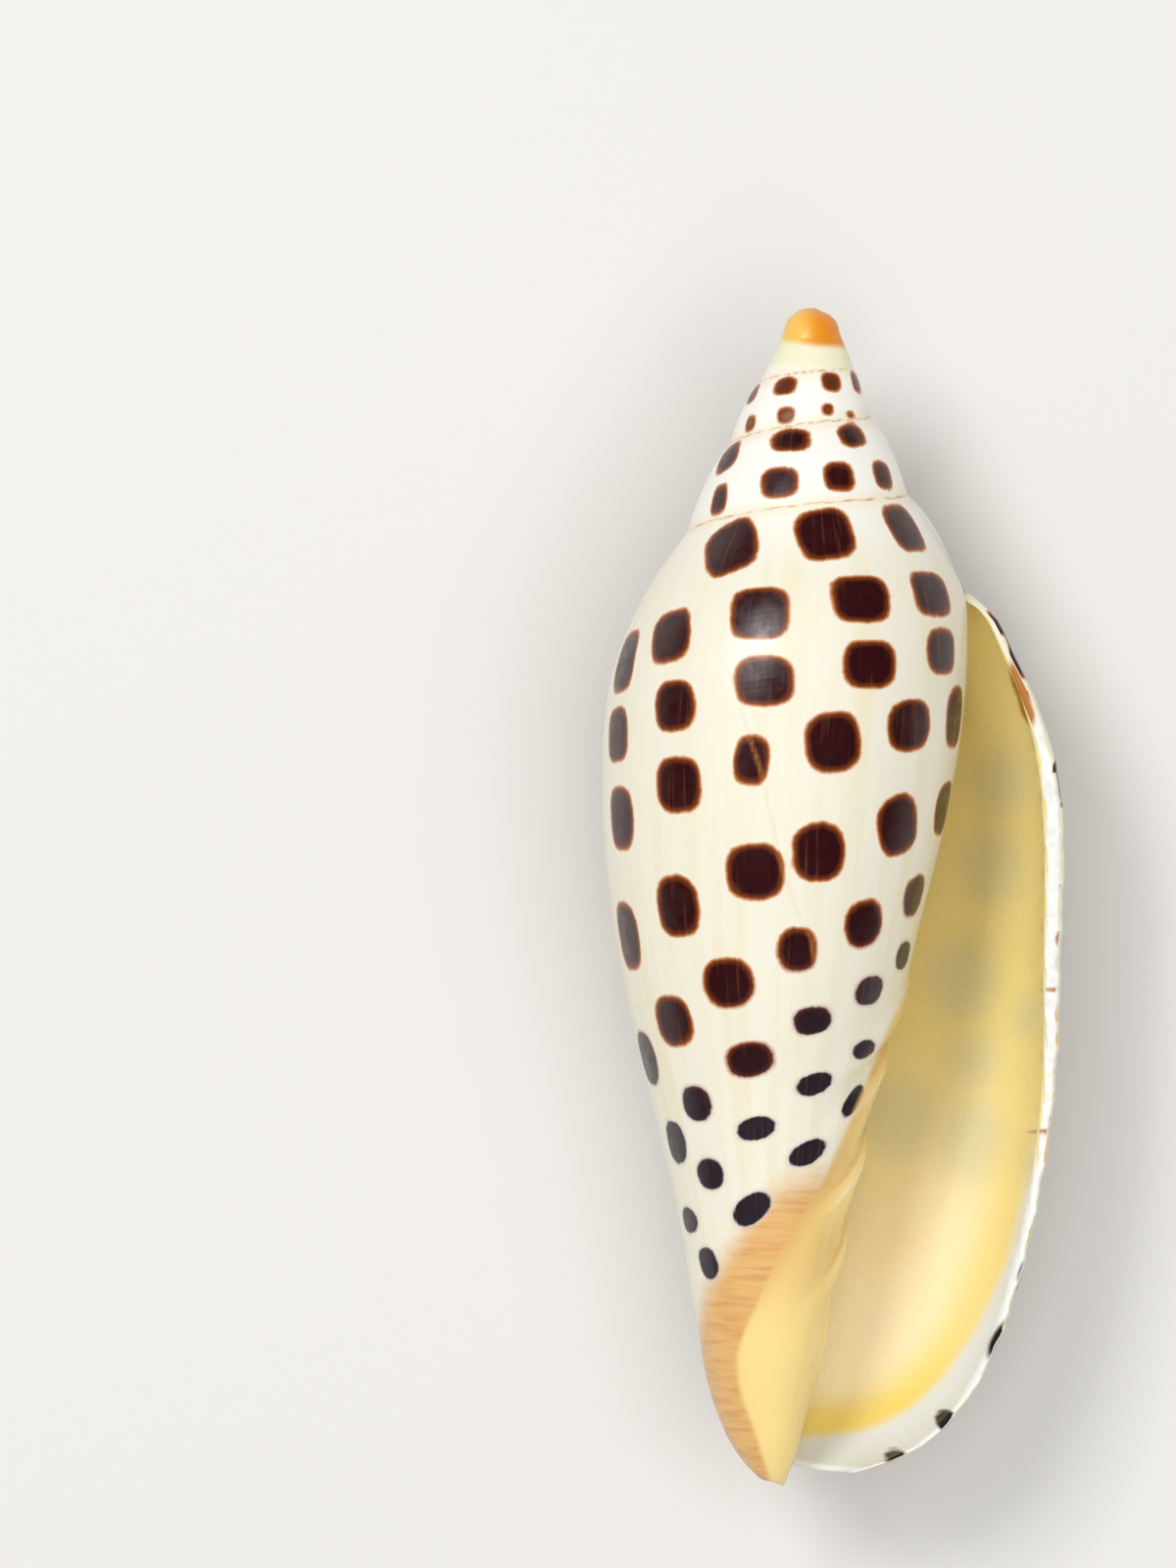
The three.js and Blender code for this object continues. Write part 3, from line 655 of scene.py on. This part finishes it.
def paintFields(piece):
    mesh = piece.data
    count = len(mesh.vertices)

    def read(name):
        values = np.empty(count, np.float32)
        mesh.attributes[name].data.foreach_get("value", values)
        return values.astype(float)

    def write(name, values):
        layer = mesh.attributes.get(name) or mesh.attributes.new(name, "FLOAT", "POINT")
        layer.data.foreach_set("value", np.asarray(values, np.float32))

    turn, down, out, side = (read(name) for name in ("turn", "down", "out", "side"))
    angle = 2 * math.pi * turn
    points = np.stack([out * np.cos(angle), -down, out * np.sin(angle)], axis=1)
    across = points[:, 0]
    outside = side < 0.5
    degrees = np.degrees(angle) % 360

    layer = mesh.attributes.new("growthTurn", "FLOAT", "CORNER")
    layer.data.foreach_set("value", cornerTurns(mesh, turn, down, outside).astype(np.float32))

    edge, tone, pale = spotFields(points, turn, down, outside)
    write("spotEdge", edge)
    write("spotTone", tone)
    write("spotPale", pale)

    # suture, measured both ways from the line
    below = down - sutureDown(turn)
    above = np.where(turn < -1 + 1e-4, sutureDown(turn + 1) - down, outOfReach)
    write("sutureGap", np.where(outside, np.minimum(below, above), outOfReach))

    around = np.where(outside, turn + 1, turn)
    write("foldHeight", foldRise(around, down))
    # lines along the folds: painted shade in the crease above each, and a painted highlight on the crest of
    # the middle two
    climb = shell["foldSlope"] * around * 2 * math.pi
    creaseShadeLines = [np.abs(down - middle + areas["creaseShadeShare"] * above - climb)
               for middle, height, above, below in shell["folds"]]
    crestHighlightLines = [np.abs(down - middle - areas["crestHighlightShift"] - climb)
              for middle, height, above, below in shell["folds"][1:3]]
    fading = np.maximum(np.abs(around) - areas["foldLineTurns"], 0) * areas["foldLineFading"]
    write("creaseShadeGap", np.min(creaseShadeLines, axis=0) + fading)
    write("crestHighlightGap", np.where(around > areas["crestHighlightFrom"], np.min(crestHighlightLines, axis=0) + fading, outOfReach))
    frontSide = outside & (degrees < 181) & (turn > -1.01)
    glazeSide = frontSide & (down > areas["glazeTop"])
    glaze = np.where(glazeSide, across - curve(areas["glazeEdge"], down), -outOfReach)
    write("glazeGap", np.where(outside, glaze, outOfReach))
    fascioleSide = outside & (down > areas["fascioleTop"])
    write("fascioleGap", np.where(fascioleSide, down - curve(areas["fascioleEdge"], degrees), -outOfReach))

    # inside: distance from the lip's outline, soft grey marks and the marks on the margin
    lipLine = [(lipOut, lipDown) for lipDown, lipOut in shell["lip"]] + [areas["lipLineEnd"]]
    write("edgeGap", np.where(outside, outOfReach, capsule(lipLine, across, down)))
    ghosts = [(x, y, radius, radius * areas["ghostTall"], 0) for x, y, radius in areas["ghosts"]]
    inner = {"ghostGap": ghosts, "marginGap": areas["marginSpots"], "stainGap": areas["stains"]}
    for name, marks in inner.items():
        write(name, np.where(side > 1.5, ovalField(marks, across, down), outOfReach))

    scarLine = [fromView(frontView, x, y) for x, y in areas["scar"]]
    frontal = outside & (points[:, 2] > 0)
    write("scarGap", np.where(frontal, capsule(scarLine, across, down), outOfReach))
    write("insideMask", np.where(outside, 0.0, 1.0))
    write("lipMask", np.where(side > 2.5, 1.0, 0.0))


paintFields(shellPiece)
print("stage: markings placed")


def linear(red, green, blue):
    channels = []
    for value in (red, green, blue):
        value /= 255
        channels.append(value / 12.92 if value <= 0.04045 else ((value + 0.055) / 1.055) ** 2.4)
    return (*channels, 1)


# Colours and finish of the shell
skin = {
    "ground": linear(238, 233, 214),
    "band": linear(234, 223, 190),
    "spire": linear(246, 244, 235),
    "underSuture": linear(247, 222, 176),
    "sutureLine": linear(178, 118, 62),
    "firstWhorls": linear(232, 142, 26),
    "firstWhorlsLight": linear(244, 200, 92),
    # pale band of the early whorls, also the colour of their painted highlight
    "firstWhorlsPaleAndHighlight": linear(240, 236, 202),
    "halo": linear(196, 116, 42),
    "haloCool": linear(204, 194, 196),
    "fringe": linear(116, 50, 14),
    "spotPale": linear(146, 82, 40),
    "spotWarm": linear(50, 10, 14),
    "spotCool": linear(42, 34, 42),
    "fasciole": linear(228, 178, 106),
    "fascioleLine": linear(200, 132, 66),
    "glaze": linear(245, 217, 144),
    # colour of the painted shade on the glaze
    "glazeShade": linear(222, 176, 104),
    # colour of the painted highlight on the fold crests
    "glazeHighlight": linear(255, 246, 218),
    "insideDeep": linear(248, 229, 152),
    "inside": linear(244, 226, 152),
    "insideLow": linear(255, 240, 196),
    "edgeBand": linear(250, 220, 102),
    "margin": linear(236, 240, 236),
    "ghost": linear(206, 206, 172),
    "lipTop": linear(236, 230, 204),
    "lipChalk": linear(238, 238, 234),
    "lipGrain": linear(214, 208, 196),
    "stain": linear(176, 106, 22),
    "marginSpot": linear(18, 17, 20),
    "roughness": 0.3,
    "glazeRoughness": 0.1,
    "lipRoughness": 0.75,
    "reliefStrength": 0.22,
    "reliefDepth": 0.1,             # mm
    "ior": 1.5,
    "roundWhorl": 90,               # about millimetres round the whorl in one turn
    "threadSlope": -16,             # mm that the fine threads climb in one turn
}


class Nodes:
    # short names for the nodes of one material
    def __init__(self, name):
        self.material = bpy.data.materials.new(name)
        self.material.use_nodes = True
        self.tree = self.material.node_tree
        self.tree.nodes.clear()

    def put(self, socket, value):
        if isinstance(value, bpy.types.NodeSocket):
            self.tree.links.new(value, socket)
        else:
            socket.default_value = value

    def attribute(self, name):
        node = self.tree.nodes.new("ShaderNodeAttribute")
        node.attribute_name = name
        return node.outputs["Fac"]

    def math(self, operation, *values):
        node = self.tree.nodes.new("ShaderNodeMath")
        node.operation = operation
        for socket, value in zip(node.inputs, values):
            self.put(socket, value)
        return node.outputs[0]

    def ramp(self, value, low, high, first=0.0, last=1.0):
        node = self.tree.nodes.new("ShaderNodeMapRange")
        node.interpolation_type = "SMOOTHSTEP"
        for socket, given in zip(node.inputs, (value, low, high, first, last)):
            self.put(socket, given)
        return node.outputs[0]

    def mix(self, factor, first, second, blend="MIX"):
        node = self.tree.nodes.new("ShaderNodeMix")
        node.data_type = "RGBA"
        node.blend_type = blend
        self.put(node.inputs[0], factor)
        self.put(node.inputs[6], first)
        self.put(node.inputs[7], second)
        return node.outputs[2]

    def between(self, factor, first, second):
        node = self.tree.nodes.new("ShaderNodeMix")
        self.put(node.inputs["Factor"], factor)
        self.put(node.inputs["A"], first)
        self.put(node.inputs["B"], second)
        return node.outputs["Result"]

    def vector(self, x, y, z):
        node = self.tree.nodes.new("ShaderNodeCombineXYZ")
        for socket, value in zip(node.inputs, (x, y, z)):
            self.put(socket, value)
        return node.outputs[0]

    def noise(self, vector, scale, detail=2.0, rough=0.5):
        node = self.tree.nodes.new("ShaderNodeTexNoise")
        self.put(node.inputs["Vector"], vector)
        node.inputs["Scale"].default_value = scale
        node.inputs["Detail"].default_value = detail
        node.inputs["Roughness"].default_value = rough
        return node.outputs["Fac"]

    def bump(self, height, strength, distance):
        node = self.tree.nodes.new("ShaderNodeBump")
        node.inputs["Strength"].default_value = strength
        node.inputs["Distance"].default_value = distance
        self.put(node.inputs["Height"], height)
        return node.outputs[0]

    def surface(self, settings):
        shader = self.tree.nodes.new("ShaderNodeBsdfPrincipled")
        for name, value in settings.items():
            self.put(shader.inputs[name], value)
        result = self.tree.nodes.new("ShaderNodeOutputMaterial")
        self.put(result.inputs["Surface"], shader.outputs[0])


def outsideColour(n, down, along, growthBroad, growthFine, grain):
    # cream ground with faint yellow growth bands, and the lined fasciole
    colour = n.mix(n.ramp(growthBroad, 0.44, 0.68, 0, 0.6), skin["ground"], skin["band"])
    colour = n.mix(n.ramp(growthFine, 0.56, 0.74, 0, 0.25), colour, skin["band"])
    colour = n.mix(n.ramp(down, 24, 16), colour, skin["spire"])
    colour = n.mix(n.ramp(n.attribute("sutureGap"), 1.1, 0.1, 0, 0.4), colour, skin["underSuture"])
    lines = n.noise(n.vector(n.math("MULTIPLY", along, 0.04), down, 0), 1.6, 4, 0.6)
    fasciole = n.mix(n.ramp(lines, 0.4, 0.66, 0, 0.55), skin["fasciole"], skin["fascioleLine"])
    wobble = n.math("MULTIPLY", n.math("SUBTRACT", grain, 0.5), 1.2)
    fascioleGap = n.math("ADD", n.attribute("fascioleGap"), wobble)
    return n.mix(n.ramp(fascioleGap, -1.6, 3.2, 0, 0.95), colour, fasciole)


def spotColours(n, colour, spot, turn, down, growthFine):
    # soft orange-brown edges; spots turn cooler lower down, sooner on the back and by the aperture
    away = n.math("ABSOLUTE", n.math("ADD", turn, 0.62))
    cool = n.math("MULTIPLY_ADD", away, 45, n.math("MULTIPLY_ADD", n.attribute("spotTone"), 6, down))
    cool = n.math("MULTIPLY", n.ramp(cool, 62, 76), n.ramp(down, 40, 50))
    dark = n.mix(cool, skin["spotWarm"], skin["spotCool"])
    dark = n.mix(n.ramp(growthFine, 0.55, 0.8, 0, 0.12), dark, skin["halo"])
    dark = n.mix(n.attribute("spotPale"), dark, skin["spotPale"])
    bloom = n.mix(cool, skin["halo"], skin["haloCool"])
    bloomReach, bloomShare = n.between(cool, 0.22, 0.4), n.between(cool, 0.95, 0.4)
    colour = n.mix(n.ramp(spot, bloomReach, -0.02, 0, bloomShare), colour, bloom)
    fringe = n.mix(cool, skin["fringe"], dark)
    colour = n.mix(n.ramp(spot, 0.06, -0.2), colour, fringe)
    return n.mix(n.ramp(spot, -0.12, -0.64), colour, dark)


def spireColours(n, colour, down, along, soft, objectPlace):
    # broken suture line, and orange first whorls that grow paler towards the left in the frame, with a
    # painted highlight at their far left
    broken = n.noise(n.vector(along, 0, 0), 0.4, 1)
    line = n.ramp(n.attribute("sutureGap"), 0.17, 0.02)
    lineShare = n.math("MULTIPLY", line, n.ramp(broken, 0.42, 0.6, 0.05, 0.7))
    colour = n.mix(lineShare, colour, skin["sutureLine"])
    colour = n.mix(n.ramp(down, 5.6, 4.6), colour, skin["firstWhorlsPaleAndHighlight"])
    split = n.tree.nodes.new("ShaderNodeSeparateXYZ")
    n.put(split.inputs[0], objectPlace)
    paler = n.ramp(split.outputs["X"], -2.2 * mm, -4.4 * mm, 0, 0.85)
    firstWhorls = n.mix(paler, skin["firstWhorls"], skin["firstWhorlsLight"])
    # painted highlight on the far left of the first whorls
    highlightShare = n.ramp(split.outputs["X"], -5.0 * mm, -5.9 * mm, 0, 0.7)
    firstWhorls = n.mix(highlightShare, firstWhorls, skin["firstWhorlsPaleAndHighlight"])
    orangeEnd = n.math("ADD", down, n.math("MULTIPLY", soft, 1.2))
    return n.mix(n.ramp(orangeEnd, 4.1, 3.4), colour, firstWhorls)


def insideColour(n, down, soft):
    # cream deepening inwards, a yellow band by the edge and a pale margin along its lower part
    edgeGap = n.attribute("edgeGap")
    inside = n.mix(n.ramp(edgeGap, 4, 14), skin["inside"], skin["insideDeep"])
    inside = n.mix(n.ramp(down, 56, 88), inside, skin["insideLow"])
    inside = n.mix(n.ramp(soft, 0.4, 0.7, 0, 0.14), inside, skin["edgeBand"])
    inside = n.mix(n.ramp(n.attribute("ghostGap"), 1.2, -2.2, 0, 0.5), inside, skin["ghost"])
    pastMargin = n.math("SUBTRACT", edgeGap, n.ramp(down, 78, 95, 1.3, 2.9))
    bandShare = n.math("ADD", n.ramp(down, 55, 80, 0, 0.55), n.ramp(down, 84, 94, 0, 0.3))
    inside = n.mix(n.math("MULTIPLY", n.ramp(pastMargin, 5, 1.4), bandShare), inside, skin["edgeBand"])
    marginMask = n.math("MULTIPLY", n.ramp(pastMargin, 0.9, -0.3), n.ramp(down, 66, 78))
    return n.mix(marginMask, inside, skin["margin"])


def glazeColour(n, down, glazeGap):
    # warm glaze on the pillar, with painted shade between the folds, in their creases and along its left
    # border, and a painted highlight on the crests
    # painted shade where the folds are low
    shadeBetweenFolds = n.ramp(n.attribute("foldHeight"), 0.5, 0.08, 0, 0.45)
    glaze = n.mix(shadeBetweenFolds, skin["glaze"], skin["glazeShade"])
    # painted shade along the crease above each fold
    glaze = n.mix(n.ramp(n.attribute("creaseShadeGap"), 0.7, 0.05, 0, 0.7), glaze, skin["glazeShade"])
    # painted highlight along the crests of the middle two folds
    glaze = n.mix(n.ramp(n.attribute("crestHighlightGap"), 0.7, 0.05, 0, 0.6), glaze, skin["glazeHighlight"])
    # painted shade along the glaze's left border
    glaze = n.mix(n.ramp(glazeGap, 1.6, 0.1, 0, 0.6), glaze, skin["glazeShade"])
    return n.mix(n.ramp(down, 80, 88), glaze, skin["glaze"])


def makeSkin():
    n = Nodes("shellSkin")
    turn, down = n.attribute("growthTurn"), n.attribute("down")
    objectPlace = n.tree.nodes.new("ShaderNodeTexCoord").outputs["Object"]
    along = n.math("MULTIPLY", turn, skin["roundWhorl"])
    growth = n.vector(along, n.math("MULTIPLY", down, 0.06), 0)
    climbing = n.math("MULTIPLY_ADD", turn, skin["threadSlope"], down)
    threads = n.vector(n.math("MULTIPLY", along, 0.03), climbing, 0)
    growthBroad = n.noise(growth, 0.42, 3)
    growthFine = n.noise(growth, 2.2, 1)
    threadFine = n.noise(threads, 2.4, 2)
    grain = n.noise(objectPlace, 900, 2)
    soft = n.noise(objectPlace, 120, 2)

    colour = outsideColour(n, down, along, growthBroad, growthFine, grain)
    wobble = n.math("MULTIPLY", n.math("SUBTRACT", n.noise(objectPlace, 600, 3, 0.6), 0.5), 0.4)
    streaks = n.math("MULTIPLY", n.math("SUBTRACT", growthFine, 0.5), 0.15)
    spot = n.math("ADD", n.attribute("spotEdge"), n.math("ADD", wobble, streaks))
    colour = spotColours(n, colour, spot, turn, down, growthFine)
    colour = spireColours(n, colour, down, along, soft, objectPlace)
    scar = n.attribute("scarGap")
    scarShare = n.math("MULTIPLY", n.ramp(scar, 0.35, 0.05), n.ramp(spot, 0, -0.3, 0.1, 0.5))
    colour = n.mix(scarShare, colour, skin["halo"])
    colour = n.mix(n.attribute("insideMask"), colour, insideColour(n, down, soft))

    glazeGap = n.math("ADD", n.attribute("glazeGap"), n.math("MULTIPLY", n.math("SUBTRACT", soft, 0.5), 0.5))
    pillar = n.ramp(n.attribute("side"), 1.4, 1.6, 1, 0)
    glazeMask = n.math("MULTIPLY", n.ramp(glazeGap, -0.3, 0.35), pillar)
    glazeShare = n.math("MULTIPLY", glazeMask, n.ramp(down, 55, 60))
    colour = n.mix(glazeShare, colour, glazeColour(n, down, glazeGap))

    # chalky lip, its marks and stains
    lip = n.attribute("lipMask")
    chalk = n.mix(n.ramp(grain, 0.45, 0.7, 0, 0.4), skin["lipChalk"], skin["lipGrain"])
    colour = n.mix(lip, colour, n.mix(n.ramp(down, 32, 36.5), skin["lipTop"], chalk))
    colour = n.mix(n.ramp(n.attribute("marginGap"), 0.25, -0.15), colour, skin["marginSpot"])
    colour = n.mix(n.ramp(n.attribute("stainGap"), 0.35, 0, 0, 0.95), colour, skin["stain"])

    # finish
    rough = n.ramp(grain, 0.3, 0.7, skin["roughness"] - 0.05, skin["roughness"] + 0.08)
    rough = n.between(glazeMask, rough, skin["glazeRoughness"])
    rough = n.between(lip, rough, skin["lipRoughness"])
    height = n.math("ADD", n.math("MULTIPLY", growthFine, 0.5), n.math("MULTIPLY", threadFine, 0.4))
    height = n.math("SUBTRACT", height, n.ramp(n.attribute("sutureGap"), 0.35, 0.0, 0, 0.5))
    height = n.math("SUBTRACT", height, n.ramp(scar, 0.4, 0.0, 0, 0.8))
    height = n.math("ADD", height, n.math("MULTIPLY", n.math("MULTIPLY", lip, grain), 2.5))
    relief = n.bump(height, skin["reliefStrength"], skin["reliefDepth"] * mm)
    n.surface({"Base Color": colour, "Roughness": rough, "Normal": relief, "IOR": skin["ior"]})
    return n.material


shellPiece.data.materials.append(makeSkin())
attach(shellPiece, "root")
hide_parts("shell")
print("stage: shell finished")

# Floor, light and camera
studio = {
    "floor": linear(226, 224, 220),
    "floorHalf": 3,
    "floorRoughness": 0.9,
    "skyStrength": 0.4,
    "sensorWidth": 36,              # mm
    "cameraDistance": 1.6,
    "viewHeight": 0.0190,           # height of the lip plane, where the scale is true
    "frameHeight": 0.1329,          # metres of the lip plane that the picture's height shows
    "centre": (-0.02077, 0.00905),  # point under the middle of the picture
    "roll": 1.8,
    "key": {"place": (-0.5, 0.42, 1.0), "size": 0.42, "power": 6.2},
    "front": {"place": (0.2, -0.15, 1.25), "size": 1.1, "power": 8.5},
}


def makeFloor():
    bm = bmesh.new()
    bmesh.ops.create_grid(bm, x_segments=1, y_segments=1, size=studio["floorHalf"])
    floor = addPiece(bm, "floor")
    n = Nodes("floorPaper")
    n.surface({"Base Color": studio["floor"], "Roughness": studio["floorRoughness"]})
    floor.data.materials.append(n.material)


def makeLight(name):
    given = studio[name]
    light = bpy.data.lights.new(name, "AREA")
    light.shape = "SQUARE"
    light.size = given["size"]
    light.energy = given["power"]
    lamp = bpy.data.objects.new(name, light)
    lamp.location = given["place"]
    lamp.rotation_euler = (-Vector(given["place"])).to_track_quat("-Z", "Y").to_euler()
    lamp.visible_glossy = name == "key"     # only the key shows in the gloss
    bpy.context.scene.collection.objects.link(lamp)


def makeCamera():
    camera = bpy.data.cameras.new("camera")
    camera.sensor_width = studio["sensorWidth"]
    camera.lens = studio["sensorWidth"] * studio["cameraDistance"] / studio["frameHeight"]
    eye = bpy.data.objects.new("camera", camera)
    eye.location = (*studio["centre"], studio["viewHeight"] + studio["cameraDistance"])
    eye.rotation_euler = (0, 0, math.radians(studio["roll"]))
    bpy.context.scene.collection.objects.link(eye)
    bpy.context.scene.camera = eye


makeFloor()
makeLight("key")
makeLight("front")
makeCamera()
world = bpy.data.worlds.new("studio")
world.use_nodes = True
world.node_tree.nodes["Background"].inputs["Color"].default_value = (1, 1, 1, 1)
world.node_tree.nodes["Background"].inputs["Strength"].default_value = studio["skyStrength"]
world.cycles_visibility.glossy = False
bpy.context.scene.world = world
bpy.context.scene.view_settings.view_transform = "Standard"
print("stage: studio ready")
